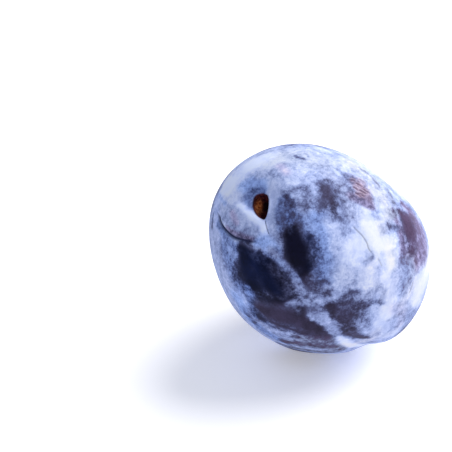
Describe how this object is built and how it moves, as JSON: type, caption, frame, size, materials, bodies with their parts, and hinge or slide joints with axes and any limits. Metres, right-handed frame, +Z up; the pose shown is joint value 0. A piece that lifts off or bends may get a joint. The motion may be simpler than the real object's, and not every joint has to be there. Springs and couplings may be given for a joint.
{
  "type": "quetsche plum",
  "caption": "Whole oval plum with an open stem cavity and a shallow suture down one side; loose fruit that rests on a small flat spot of its flank.",
  "frame": {"origin": "centre of the small flat spot the fruit rests on", "axes": "+Z up; the long axis lies in the XZ plane, with the stem cavity up towards -X, 51.7 degrees above the horizontal, and the blossom end down towards +X; the suture runs down the -Y flank"},
  "size_m": [0.0437, 0.0411, 0.045],
  "materials": {
    "bloomed_skin": "satin"
  },
  "bodies": {
    "root": {"fruit": "bloomed_skin"}
  },
  "joints": []
}
